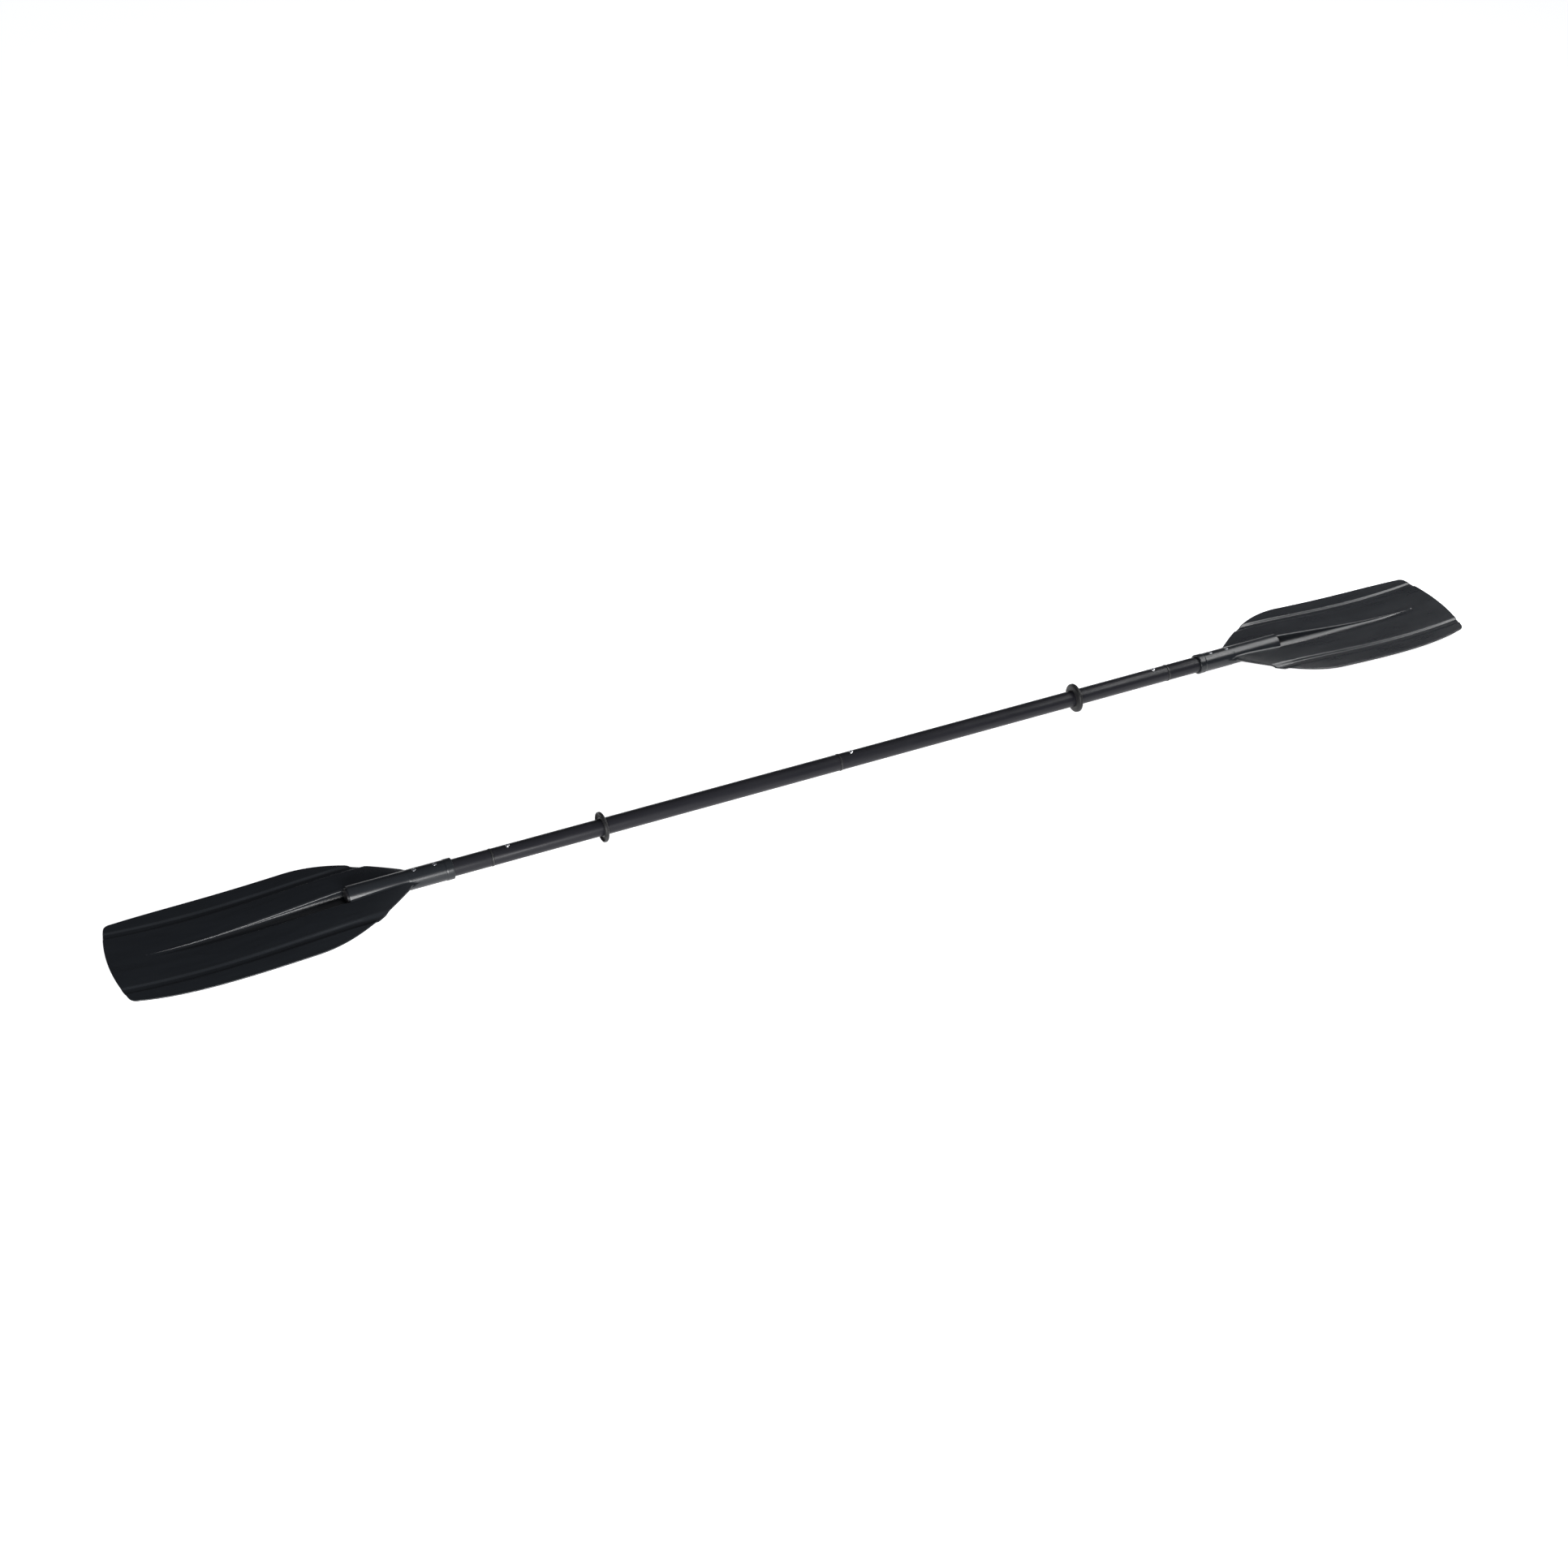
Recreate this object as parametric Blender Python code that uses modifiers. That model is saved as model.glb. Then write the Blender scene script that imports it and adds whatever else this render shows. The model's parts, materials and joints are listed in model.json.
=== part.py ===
"""Take-apart kayak paddle: two main tubes, two blade sections, three spring-button joints.

Frame: the origin is on the shaft's axis at mid-length, +X runs along the shaft to the right
blade, +Y across the blades, +Z out of the blades' power faces, where the buttons are too.
Metres throughout. A blade section is modelled once, pointing along +X, and its left copy is
turned half a turn about Z by its parent empty, so the two are a matched pair.
"""
import math

import bpy
import numpy as np

# ---- overall sizes
overall_length = 2.200
shaft_radius = 0.0125
tube_wall = 0.0012
fit_gap = 0.0003            # between pieces that touch or slide

# ---- joints, measured along the shaft
center_seam = -0.015        # X of the middle joint
blade_section_length = 0.5372  # blade tip to blade joint
center_button_reach = 0.020  # seam to button, along the ferrule's free end
blade_button_reach = 0.0252
ferrule_free_length = 0.070
ferrule_fixed_length = 0.050
ferrule_wall = 0.0018
flange_width = 0.0026       # stop collar that shows as the dark seam
flange_height = 0.0006
lead_in = 0.0015            # chamfer on the ferrule's free end

# ---- spring buttons
button_radius = 0.0032
button_proud = 0.0027
button_dome = 0.0016
clip_width = 0.0050
clip_thickness = 0.0005
clip_length = 0.026
clip_nose = 0.0040          # how far the leaf runs past the button
clip_flat = 0.0055          # level stretch of each leaf, inward of the button
clip_bend_length = 0.0020
clip_bend_radius = 0.0012

# ---- drip rings
ring_from_joint = 0.1692    # blade joint to ring, towards mid-length
ring_height = 0.0100        # how far the lip stands off the tube
ring_half_width = 0.0034
ring_hub_wall = 0.0022
ring_hub_setback = 0.0015   # from the lip's face back to the hub's
ring_skin = 0.0020
ring_lip_width = 0.0030
ring_edge = 0.0008

# ---- foam plugs
plug_length = 0.030
plug_setback = 0.012        # from the ferrule's end to the plug
plug_chamfer = 0.002

# ---- blade socket
blade_length = 0.4797       # tip to the socket's mouth
mouth_bead_width = 0.0110
neck_length = 0.0637        # mouth to the cover over the tube's end
cover_length = 0.0872
bead_wall = 0.0028
neck_wall = 0.0022
cover_wall = 0.0019
socket_edge = 0.0008        # rounding at the mouth
tube_past_cover = 0.0015
cap_flange = 0.0022
cap_dome = 0.0018
cap_depth = 0.014
rivets_from_mouth = (0.0247, 0.0547)
rivet_radius = 0.0016
rivet_head_radius = 0.0030
rivet_head_height = 0.0011
rivet_head_dome = 0.0009
rivet_grip = 0.0012         # how far a rivet's tail reaches into the tube

# ---- blade outline
blade_half_width = 0.0927
throat_from_mouth = 0.0377
throat_length = 0.1820
narrowing_length = 0.220
tip_narrowing = 0.0140
tip_bow = 0.0093
tip_corner_radius = 0.0130

# ---- blade form
plate_thickness = 0.0024
spoon_heights = (0.0052, -0.0007, -0.0208, -0.0041)  # Bezier heights, throat to tip
spoon_from_throat = 0.0020
crown_height = 0.0040
crown_hold = 0.0088         # past the cover before the crown starts to fade
crown_end_setback = 0.100   # from the tip to where the plate is flat across
channel_clearance = 0.0007  # channel over the socket's bore
channel_end_width = 0.0030
channel_end_setback = 0.050  # from the tip to the channel's point
channel_fade = 0.70         # share of the channel after which it runs out
channel_ramp = 0.006        # hidden under the cover
band_inset = 0.0327         # from the blade's widest edge to the band's middle
band_half_width = 0.0070
band_depths = (0.0034, 0.0014)  # at the throat and at the tip

plate_lead = 0.0100         # the plate starts this far past the throat, inside the neck

# ---- mesh steps
round_steps = 40
small_steps = 16
ring_steps = 30             # sides of a drip ring, wide enough for the paddle to lie still on one
arc_steps = 4
rows_beside_socket = 13
rows_beside_channel = 17
channel_columns = (0, 0.3, 0.55, 0.75, 0.89, 0.97, 1.0, 1.2)  # shares of its half-width
widest_column = 0.9         # share of the half-width that the last full column keeps inside
first_channel_row = 0.004   # from the cover's end
smooth_angle = math.radians(35)

# ---- values that follow
half_length = overall_length / 2
blade_seam = half_length - blade_section_length
ring_place = blade_seam - ring_from_joint
ring_radius = shaft_radius + ring_height
socket_mouth = half_length - blade_length
neck_end = socket_mouth + neck_length
cover_end = neck_end + cover_length
throat_start = socket_mouth + throat_from_mouth
spoon_start = throat_start + spoon_from_throat
crown_fade = (cover_end + crown_hold, half_length - crown_end_setback)
rivet_places = [socket_mouth + reach for reach in rivets_from_mouth]
band_offset = blade_half_width - band_inset
tube_bore = shaft_radius - tube_wall
ferrule_radius = tube_bore - fit_gap
ferrule_bore = ferrule_radius - ferrule_wall
socket_bore = shaft_radius + fit_gap
button_top = shaft_radius + button_proud
button_hole = button_radius + fit_gap
clip_ceiling = math.sqrt(ferrule_bore ** 2 - (clip_width / 2) ** 2) - fit_gap
tube_inset = flange_width / 2 + fit_gap
plug_radius = tube_bore - fit_gap
channel_start = cover_end
channel_end = half_length - channel_end_setback
channel_width = socket_bore + channel_clearance
tip_start = half_length - tip_bow - tip_corner_radius
drill_reach = 2 * shaft_radius


# ---- scene, materials and small helpers

def clear_scene():
    for item in list(bpy.data.objects):
        bpy.data.objects.remove(item, do_unlink=True)


def collection(name):
    made = bpy.data.collections.new(name)
    bpy.context.scene.collection.children.link(made)
    return made


def material(name, colour, roughness, metallic=0.0):
    made = bpy.data.materials.new(name)
    made.use_nodes = True
    shader = made.node_tree.nodes["Principled BSDF"]
    shader.inputs["Base Color"].default_value = (*colour, 1.0)
    shader.inputs["Roughness"].default_value = roughness
    shader.inputs["Metallic"].default_value = metallic
    return made


def empty(name, location=(0, 0, 0), turn=0.0, parent=None):
    made = bpy.data.objects.new(name, None)
    made.location = location
    made.rotation_euler = (0, 0, turn)
    made.parent = parent
    parts.objects.link(made)
    return made


def add_object(name, mesh, finish, parent=None, location=(0, 0, 0), rotation=(0, 0, 0), group=None):
    made = bpy.data.objects.new(name, mesh)
    made.location = location
    made.rotation_euler = rotation
    made.parent = parent
    (group or parts).objects.link(made)
    if finish:
        mesh.materials.append(finish)
    if group is cutters:
        made.hide_render = True
        made.display_type = "WIRE"
    return made


def screw(item, steps):
    turn = item.modifiers.new("turn", "SCREW")
    turn.axis = "Z"
    turn.steps = steps
    turn.render_steps = steps
    turn.use_merge_vertices = True
    turn.merge_threshold = 1e-6
    turn.use_smooth_shade = True


def turned(name, outline, finish, parent=None, location=(0, 0, 0), upright=False,
           steps=round_steps, group=None, first=0.0):
    """A solid of revolution from (distance along the axis, radius) points.

    The points run down the outer side, from the far end to the near end, and come back up
    the bore when the piece is hollow, or start and end on the axis when it is solid. The axis
    is X, or Z when the piece stands upright. The first column of points stands at the angle
    first, counted from the lowest line of a piece that lies along X.
    """
    hollow = all(radius > 0 for _, radius in outline)
    points = [(radius * math.cos(first), radius * math.sin(first), along)
              for along, radius in outline]
    edges = [(i, i + 1) for i in range(len(points) - 1)]
    if hollow:
        edges.append((len(points) - 1, 0))
    mesh = bpy.data.meshes.new(name)
    mesh.from_pydata(points, edges, [])
    rotation = (0, 0, 0) if upright else (0, math.pi / 2, 0)
    made = add_object(name, mesh, finish, parent, location, rotation, group)
    screw(made, steps)
    return made


def cylinder_cutter(name, radius, low, high, parent, at=(0, 0, 0), upright=True, steps=small_steps):
    outline = [(high, 0), (high, radius), (low, radius), (low, 0)]
    return turned(name, outline, None, parent, at, upright, steps, cutters)


def combine(item, other, operation):
    change = item.modifiers.new(operation.lower(), "BOOLEAN")
    change.operation = operation
    change.solver = "EXACT"
    change.object = other


def top_hole(item, name, radius, x, parent):
    """Cuts an upright hole through the top wall only."""
    drill = cylinder_cutter(name, radius, 0.0, drill_reach, parent, (x, 0, 0))
    combine(item, drill, "DIFFERENCE")


def quarter_arc(start, end):
    """Points (along, radius) of a quarter ellipse that leaves start along the axis and
    reaches end square to it."""
    angles = [math.pi / 2 * i / arc_steps for i in range(arc_steps + 1)]
    return [(end[0] + (start[0] - end[0]) * (1 - math.sin(a)),
             end[1] + (start[1] - end[1]) * math.cos(a)) for a in angles]


def dome(top, height, radius):
    """A low dome on the axis, from its top down to its rim."""
    return quarter_arc((top - height, radius), (top, 0))[::-1]


def smoothstep(low, high, value):
    share = np.clip((value - low) / (high - low), 0.0, 1.0)
    return share * share * (3 - 2 * share)


# ---- shaft pieces

def tube(name, start, end, holes, parent=None):
    outline = [(end, shaft_radius), (start, shaft_radius), (start, tube_bore), (end, tube_bore)]
    made = turned(name, outline, anodised, parent)
    for label, x, radius in holes:
        top_hole(made, f"{name}_{label}_cutter", radius, x, parent)
    return made


def ferrule(name, button_x, parent):
    """Moulded joint piece: its fixed end is bonded in at -X, and its free end points along +X."""
    collar = shaft_radius + flange_height
    half = flange_width / 2
    free = ferrule_free_length
    fixed = -ferrule_fixed_length
    outline = [
        (free, ferrule_radius - lead_in), (free - lead_in, ferrule_radius),
        (half, ferrule_radius), (half, collar), (-half, collar), (-half, ferrule_radius),
        (fixed, ferrule_radius), (fixed, ferrule_bore), (free, ferrule_bore),
    ]
    made = turned(name, outline, nylon, parent)
    top_hole(made, f"{name}_button_cutter", button_hole, button_x, parent)
    return made


def snap_button(name, x, parent):
    seat = clip_ceiling + fit_gap
    outline = dome(button_top, button_dome, button_radius) + [(seat, button_radius), (seat, 0)]
    return turned(name, outline, steel, parent, (x, 0, 0), True, small_steps)


def snap_clip(name, x, parent):
    """V-shaped leaf spring: one leaf under the button, one on the floor of the ferrule."""
    ceiling = clip_ceiling - clip_thickness / 2
    bend = clip_length - clip_nose
    leaf = [(-clip_nose, ceiling), (clip_flat, ceiling), (bend - clip_bend_length, clip_bend_radius)]
    side = leaf + [(bend, 0.0)] + [(along, -height) for along, height in reversed(leaf)]
    points = [(-along, across, height) for along, height in side
              for across in (-clip_width / 2, clip_width / 2)]
    faces = [(2 * i, 2 * i + 1, 2 * i + 3, 2 * i + 2) for i in range(len(side) - 1)]
    mesh = bpy.data.meshes.new(name)
    mesh.from_pydata(points, [], faces)
    made = add_object(name, mesh, steel, parent, (x, 0, 0))
    wall = made.modifiers.new("leaf", "SOLIDIFY")
    wall.thickness = clip_thickness
    wall.offset = 0.0
    wall.use_even_offset = True
    return made


def drip_ring(name, parent):
    """Rubber cup that opens towards the blade, along +X in its own frame. One side of its
    lip lies flat on the floor, as soft rubber would under the paddle's weight."""
    front = ring_half_width
    back = -ring_half_width
    hub = socket_bore + ring_hub_wall
    hub_front = front - ring_hub_setback
    outside = quarter_arc((front - ring_lip_width, ring_radius), (back, hub))
    inside = quarter_arc((front, ring_radius - ring_skin), (back + ring_skin, hub))
    outline = [(front, ring_radius - ring_edge), (front - ring_edge, ring_radius)] + outside
    outline += [(back, socket_bore), (hub_front, socket_bore), (hub_front, hub)]
    outline += inside[::-1]
    return turned(name, outline, rubber, parent, steps=ring_steps, first=math.pi / ring_steps)


def foam_plug(name, start, end):
    shoulder = plug_radius - plug_chamfer
    outline = [(end, 0), (end, shoulder), (end - plug_chamfer, plug_radius),
               (start + plug_chamfer, plug_radius), (start, shoulder), (start, 0)]
    return turned(name, outline, foam, steps=small_steps)


# ---- blade pieces

def side_half_width(x):
    """Half-width of the blade along its side: a quarter sine out of the neck, then a slow
    fourth-power narrowing to the tip."""
    out = blade_half_width * np.sin(np.pi / 2 * np.clip((x - throat_start) / throat_length, 0, 1))
    near_tip = np.clip((x - (half_length - narrowing_length)) / narrowing_length, 0, 1)
    return out - tip_narrowing * near_tip ** 4


def spoon(x):
    """Height of the plate's top at its edges: a cubic Bezier from the throat to the tip."""
    s = np.clip((x - spoon_start) / (half_length - spoon_start), 0, 1)
    a, b, c, d = spoon_heights
    return a * (1 - s) ** 3 + 3 * b * s * (1 - s) ** 2 + 3 * c * s * s * (1 - s) + d * s ** 3


def plate_height(x, y):
    """Top of the plate without its channel: spoon, crown and the two recessed bands."""
    width = np.maximum(side_half_width(x), 1e-4)
    crown = crown_height * (1 - smoothstep(*crown_fade, x))
    depth = np.interp(x, (throat_start, half_length), band_depths)
    from_band = np.clip((np.abs(y) - band_offset) / band_half_width, -1, 1)
    band = depth * (0.5 + 0.5 * np.cos(np.pi * from_band))
    return spoon(x) + crown * (1 - np.minimum(np.abs(y) / width, 1) ** 2) - band


def channel_share(x):
    return np.clip((x - channel_start) / (channel_end - channel_start), 0, 1)


def channel_half_width(x):
    return channel_width + (channel_end_width - channel_width) * channel_share(x)


def channel_depth(x):
    """Deep enough to keep the floor level with the socket's bore until the channel runs out."""
    to_floor = np.maximum(plate_height(x, np.zeros_like(x)) + channel_width, 0)
    begin = smoothstep(channel_start - 2 * channel_ramp, channel_start - channel_ramp, x)
    run_out = 1 - smoothstep(channel_fade, 1, channel_share(x))
    return to_floor * begin * run_out


def blade_rows():
    """Rows of (X at mid-blade, X at the edge, half-width). The last rows turn the corner."""
    side = np.concatenate([
        np.linspace(throat_start + plate_lead, channel_start - 2 * channel_ramp,
                    rows_beside_socket),
        [channel_start - channel_ramp],
        np.linspace(channel_start + first_channel_row, tip_start, rows_beside_channel),
    ])
    rows = [(x, x, side_half_width(x)) for x in side]
    width = side_half_width(tip_start)
    full_turn = math.pi / 2 - math.atan(2 * tip_bow / (width - tip_corner_radius))
    for share in np.linspace(0, 1, arc_steps + 1)[1:]:
        angle = share * full_turn
        edge = tip_start + tip_corner_radius * math.sin(angle)
        mid = tip_start + (half_length - tip_start) * share
        rows.append((mid, edge, width - tip_corner_radius * (1 - math.cos(angle))))
    return np.array(rows)


def blade_surface(grow):
    """Grid of points on the top (grow = 0), or on the back, lowered by the wall's thickness,
    with the channel that much wider."""
    mid, edge, width = blade_rows().T[:, :, None]
    across_band = np.linspace(band_offset - band_half_width, band_offset + band_half_width, 5)
    outer = np.concatenate([[band_offset / 2], across_band])
    channel = np.minimum(channel_half_width(mid) + grow, width / 2)
    inner = channel * np.array(channel_columns)
    start = inner[:, -1:]
    usual = blade_half_width - tip_narrowing
    shares = (outer - start) / (usual - start)
    middle = np.minimum(outer, start + (width - start) * np.clip(shares, 0, widest_column))
    last = (middle[:, -1:] + width) / 2
    half = np.concatenate([inner, middle, last, width], axis=1)
    y = np.concatenate([-half[:, :0:-1], half], axis=1)
    x = mid - (mid - edge) * (y / width) ** 2
    across = np.clip(np.abs(y) / (channel_half_width(x) + grow), 0, 1)
    z = plate_height(x, y) - grow - channel_depth(x) * np.sqrt(1 - across ** 2)
    return np.stack([x, y, z], axis=-1)


def closed_grid(name, top, back):
    """Closes two grids of the same size into one solid, with a wall round the edge."""
    rows, columns = top.shape[:2]
    count = rows * columns
    number = np.arange(count).reshape(rows, columns)
    a, b, c, d = number[:-1, :-1], number[1:, :-1], number[1:, 1:], number[:-1, 1:]
    upper = np.stack([a, b, c, d], axis=-1).reshape(-1, 4)
    lower = upper[:, ::-1] + count
    rim = np.concatenate([number[0, :-1], number[:-1, -1], number[-1, :0:-1], number[:0:-1, 0]])
    after = np.roll(rim, -1)
    wall = np.stack([rim, after, after + count, rim + count], axis=-1)
    mesh = bpy.data.meshes.new(name)
    points = np.concatenate([top.reshape(-1, 3), back.reshape(-1, 3)])
    mesh.from_pydata(points.tolist(), [], np.concatenate([upper, lower, wall]).tolist())
    mesh.shade_smooth()
    mesh.set_sharp_from_angle(angle=smooth_angle)
    return mesh


def socket_outline():
    """The socket's profile: mouth bead, neck, then the cover over the tube's end, and its bore."""
    bead = socket_bore + bead_wall
    neck = socket_bore + neck_wall
    cover = socket_bore + cover_wall
    step = bead - neck
    return [
        (cover_end, cover), (neck_end + step, cover), (neck_end, neck),
        (socket_mouth + mouth_bead_width + step, neck), (socket_mouth + mouth_bead_width, bead),
        (socket_mouth + socket_edge, bead), (socket_mouth, bead - socket_edge),
        (socket_mouth, socket_bore), (cover_end, socket_bore),
    ]


def blade(name, parent):
    """The plate is cleared inside the socket, out to the middle of its wall, then joined to it."""
    made = add_object(name, closed_grid(name, blade_surface(0.0), blade_surface(plate_thickness)),
                      blade_plastic, parent)
    made.modifiers.new("flat_faces", "TRIANGULATE")
    clear_to = channel_start - channel_ramp / 2
    clearing = cylinder_cutter(f"{name}_clearing", socket_bore + cover_wall / 2, socket_mouth,
                               clear_to, parent, upright=False, steps=round_steps)
    combine(made, clearing, "DIFFERENCE")
    socket = turned(f"{name}_socket", socket_outline(), None, parent, group=cutters)
    combine(made, socket, "UNION")
    for number, x in enumerate(rivet_places, 1):
        top_hole(made, f"{name}_rivet_hole_{number}", rivet_radius + fit_gap, x, parent)
    return made


def blade_tube(name, parent):
    holes = [(f"rivet_{n}", x, rivet_radius + fit_gap) for n, x in enumerate(rivet_places, 1)]
    return tube(name, blade_seam + tube_inset, cover_end + tube_past_cover, holes, parent)


def tube_cap(name, parent):
    """Plug that shuts the tube's end inside the blade, with a low domed flange."""
    seat = cover_end + tube_past_cover + fit_gap
    outline = dome(seat + cap_flange, cap_dome, shaft_radius)
    outline += [(seat, shaft_radius), (seat, plug_radius),
                (seat - cap_depth, plug_radius), (seat - cap_depth, 0)]
    return turned(name, outline, nylon, parent)


def neck_rivet(name, x, parent):
    """Blind rivet through the neck's top wall and the tube."""
    head_seat = socket_bore + neck_wall + fit_gap
    tail = tube_bore - rivet_grip
    outline = dome(head_seat + rivet_head_height, rivet_head_dome, rivet_head_radius)
    outline += [(head_seat, rivet_head_radius), (head_seat, rivet_radius),
                (tail, rivet_radius), (tail, 0)]
    return turned(name, outline, aluminium, parent, (x, 0, 0), True, small_steps)


# ---- assembly

def blade_section(side, turn):
    """A blade, its tube and the ferrule that plugs into the main tube. The section's empty
    sits at mid-length; the ferrule points back towards it, so it is turned half a turn."""
    section = empty(f"{side}_blade_section", turn=turn)
    inward = empty(f"{side}_blade_joint", (blade_seam, 0, 0), math.pi, section)
    blade(f"{side}_blade", section)
    blade_tube(f"{side}_blade_tube", section)
    tube_cap(f"{side}_tube_cap", section)
    for number, x in enumerate(rivet_places, 1):
        neck_rivet(f"{side}_neck_rivet_{number}", x, section)
    ferrule(f"{side}_ferrule", blade_button_reach, inward)
    snap_button(f"{side}_snap_button", blade_button_reach, inward)
    snap_clip(f"{side}_snap_clip", blade_button_reach, inward)


def plug_pair(side, inner_start, outer_start):
    """Foam plugs that keep water out of a main tube, one behind each joint."""
    foam_plug(f"{side}_inner_plug", *sorted(inner_start))
    foam_plug(f"{side}_outer_plug", *sorted(outer_start))


clear_scene()
parts = collection("kayak_paddle")
cutters = collection("kayak_paddle_cutters")

anodised = material("black_anodised_aluminium", (0.018, 0.018, 0.021), 0.38, 0.6)
blade_plastic = material("black_moulded_nylon_blade", (0.014, 0.016, 0.018), 0.42)
nylon = material("black_nylon", (0.012, 0.012, 0.013), 0.50)
rubber = material("black_rubber", (0.008, 0.008, 0.008), 0.60)
steel = material("stainless_steel", (0.62, 0.62, 0.62), 0.22, 1.0)
aluminium = material("bright_aluminium", (0.55, 0.55, 0.56), 0.35, 1.0)
foam = material("grey_closed_cell_foam", (0.35, 0.35, 0.36), 0.90)

blade_button_x = blade_seam - blade_button_reach
tube("left_shaft_tube", -blade_seam + tube_inset, center_seam - tube_inset,
     [("blade_button", -blade_button_x, button_hole)])
tube("right_shaft_tube", center_seam + tube_inset, blade_seam - tube_inset,
     [("center_button", center_seam + center_button_reach, button_hole),
      ("blade_button", blade_button_x, button_hole)])

center_joint = empty("center_joint", (center_seam, 0, 0))
ferrule("center_ferrule", center_button_reach, center_joint)
snap_button("center_snap_button", center_button_reach, center_joint)
snap_clip("center_snap_clip", center_button_reach, center_joint)

past_free_end = ferrule_free_length + plug_setback
past_fixed_end = ferrule_fixed_length + plug_setback
outer_plug = blade_seam - past_free_end
left_inner_plug = center_seam - past_fixed_end
right_inner_plug = center_seam + past_free_end
plug_pair("left", (left_inner_plug, left_inner_plug - plug_length),
          (-outer_plug, -outer_plug + plug_length))
plug_pair("right", (right_inner_plug, right_inner_plug + plug_length),
          (outer_plug, outer_plug - plug_length))

for side, turn in (("left", math.pi), ("right", 0.0)):
    direction = math.cos(turn)
    seat = empty(f"{side}_ring_place", (direction * ring_place, 0, 0), turn)
    drip_ring(f"{side}_drip_ring", seat)
    blade_section(side, turn)
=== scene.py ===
# %% [markdown]
# # A take-apart kayak paddle
#
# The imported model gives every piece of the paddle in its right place: two main tubes, two
# blade sections, three spring-button joints and two drip rings. This lesson makes the fine
# surface of each piece from formulas, gives it the material that the real one is made of, and
# lays the paddle on a pale studio floor. Lengths are in metres. The origin is on the shaft's
# axis at mid-length, +X runs to the right blade, and +Z is out of the blades' power faces.

import json
import math

import bmesh
import bpy
import numpy as np
from mathutils import Euler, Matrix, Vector


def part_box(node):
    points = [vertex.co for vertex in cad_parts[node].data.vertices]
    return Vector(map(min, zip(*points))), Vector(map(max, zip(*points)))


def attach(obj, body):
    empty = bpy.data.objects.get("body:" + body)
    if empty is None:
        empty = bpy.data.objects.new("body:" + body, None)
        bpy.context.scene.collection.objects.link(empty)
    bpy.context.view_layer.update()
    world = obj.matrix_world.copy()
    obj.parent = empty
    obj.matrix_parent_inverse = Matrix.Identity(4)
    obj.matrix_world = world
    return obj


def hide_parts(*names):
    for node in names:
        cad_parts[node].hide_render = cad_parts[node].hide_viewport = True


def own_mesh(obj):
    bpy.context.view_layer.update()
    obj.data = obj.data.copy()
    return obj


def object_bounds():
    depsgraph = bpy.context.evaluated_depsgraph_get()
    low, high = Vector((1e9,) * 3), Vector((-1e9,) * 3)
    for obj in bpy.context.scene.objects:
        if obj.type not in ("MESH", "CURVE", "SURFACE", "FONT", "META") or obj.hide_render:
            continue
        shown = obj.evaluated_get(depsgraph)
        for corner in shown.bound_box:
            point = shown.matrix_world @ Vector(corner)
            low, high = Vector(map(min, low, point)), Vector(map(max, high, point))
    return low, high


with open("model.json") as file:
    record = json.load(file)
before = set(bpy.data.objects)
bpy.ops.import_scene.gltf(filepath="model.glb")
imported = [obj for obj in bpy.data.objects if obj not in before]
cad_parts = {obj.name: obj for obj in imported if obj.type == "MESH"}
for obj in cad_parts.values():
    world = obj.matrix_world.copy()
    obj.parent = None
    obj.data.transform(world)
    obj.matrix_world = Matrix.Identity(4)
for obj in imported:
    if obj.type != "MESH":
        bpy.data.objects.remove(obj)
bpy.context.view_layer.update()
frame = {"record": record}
body_of_node = {node: body for body, members in frame["record"]["behaviour"]["bodies"].items()
                for node in members}

# %% [markdown]
# ## Measures from the frame
#
# Every size that the imported model already holds is read from its boxes, so the fine surfaces
# land exactly on the solids that they stand for. Only the sizes that a box can't tell, such as
# a wall's thickness or a rounding, are written here.

# %% Measures
def low(node, axis="x"):
    return getattr(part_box(node)[0], axis)


def high(node, axis="x"):
    return getattr(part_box(node)[1], axis)


gap = 0.0003
tube_wall = 0.0012
shaft_radius = high("left_shaft_tube", "z")
tube_bore = shaft_radius - tube_wall
socket_bore = shaft_radius + gap
half_length = high("right_blade")
mouth = low("right_blade")
blade_half_width = high("right_blade", "y")
sides = {"left": -1, "right": 1}
button_x = {side: (low(f"{side}_snap_button") + high(f"{side}_snap_button")) / 2
            for side in ("left", "center", "right")}
button_radius = (high("center_snap_button") - low("center_snap_button")) / 2
print(f"shaft {2000 * shaft_radius:.1f} mm across, paddle {2000 * half_length:.0f} mm long")

# %% [markdown]
# ## Colours and a node helper
#
# Colours are chosen as sRGB hex values, the way a swatch is named, and one function turns them
# into the linear values that a shader works in. A material is a small graph, and one helper
# adds a node with its settings and its links, so each material below reads as a recipe.

# %% Helpers for materials
def linear(swatch):
    """sRGB hex to linear RGBA: each channel is divided by 255 and has the display curve undone."""
    shares = np.array([int(swatch[i:i + 2], 16) for i in (1, 3, 5)]) / 255
    curve = np.where(shares <= 0.04045, shares / 12.92, ((shares + 0.055) / 1.055) ** 2.4)
    return (*curve.tolist(), 1.0)


def new_material(name, swatch, roughness, metallic=0.0, specular=0.5):
    """A material with its Principled shader set, and the tree and shader to build on."""
    made = bpy.data.materials.new(name)
    made.use_nodes = True
    shader = made.node_tree.nodes["Principled BSDF"]
    shader.inputs["Base Color"].default_value = linear(swatch)
    shader.inputs["Roughness"].default_value = roughness
    shader.inputs["Metallic"].default_value = metallic
    shader.inputs["Specular IOR Level"].default_value = specular
    return made, made.node_tree, shader


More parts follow.
